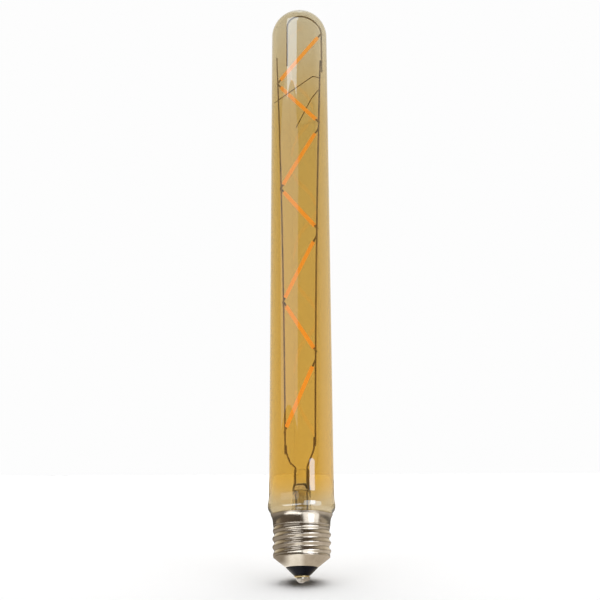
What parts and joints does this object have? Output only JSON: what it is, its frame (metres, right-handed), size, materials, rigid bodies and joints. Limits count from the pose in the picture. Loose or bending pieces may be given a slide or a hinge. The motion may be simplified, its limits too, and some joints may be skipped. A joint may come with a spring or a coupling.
{
  "type": "led filament bulb",
  "caption": "Long tubular filament lamp of tinted glass with a rounded dome and a screw cap; coated strips zigzag between two long wires inside.",
  "frame": {"origin": "on the lamp's axis at the tip of the centre contact, the lowest point of the upright lamp", "axes": "+Z along the lamp's axis from the contact to the dome, -Y towards the viewer of the picture, +X to the viewer's right"},
  "size_m": [0.0304, 0.0304, 0.3],
  "materials": {
    "bulb_glass": "clear amber tinted glass, blown and smooth",
    "stem_glass": "clear glass of the stem",
    "frame_wire": "drawn nickel-iron wire",
    "anchor_wire": "thin drawn wire",
    "phosphor_coat": "orange phosphor in silicone rubber",
    "terminal_tab": "stamped plated strip",
    "cap_metal": "nickel plated rolled brass sheet",
    "insulator_glass": "black moulded glass, glossy",
    "contact_brass": "stamped brass eyelet",
    "solder": "tin solder, smooth where it ran",
    "cement": "baked basing cement",
    "board": "glass fibre board",
    "chip_body": "black moulded resin",
    "capacitor_can": "drawn aluminium can",
    "resistor_body": "lacquered ceramic body",
    "copper_wire": "tinned copper wire"
  },
  "bodies": {
    "root": {"anchor_wire_back": "anchor_wire", "anchor_wire_front": "anchor_wire", "basing_cement": "cement", "bridge_rectifier": "chip_body", "cap_insulator": "insulator_glass", "cap_shell": "cap_metal", "contact_plate": "contact_brass", "contact_solder": "solder", "dome_hoop": "frame_wire", "driver_board": "board", "driver_chip": "chip_body", "exhaust_tube": "stem_glass", "filament_1": "phosphor_coat", "filament_1_terminals": "terminal_tab", "filament_2": "phosphor_coat", "filament_2_terminals": "terminal_tab", "filament_3": "phosphor_coat", "filament_3_terminals": "terminal_tab", "filament_4": "phosphor_coat", "filament_4_terminals": "terminal_tab", "filament_5": "phosphor_coat", "filament_5_terminals": "terminal_tab", "filament_6": "phosphor_coat", "filament_6_terminals": "terminal_tab", "filament_7": "phosphor_coat", "filament_7_terminals": "terminal_tab", "fusible_resistor": "resistor_body", "glass_envelope": "bulb_glass", "lead_in_wire_left": "frame_wire", "lead_in_wire_right": "frame_wire", "live_wire": "copper_wire", "neutral_wire": "copper_wire", "sense_resistors": "chip_body", "smoothing_capacitor": "capacitor_can", "stem_flare": "stem_glass", "support_wire_left": "frame_wire", "support_wire_right": "frame_wire"}
  },
  "joints": []
}
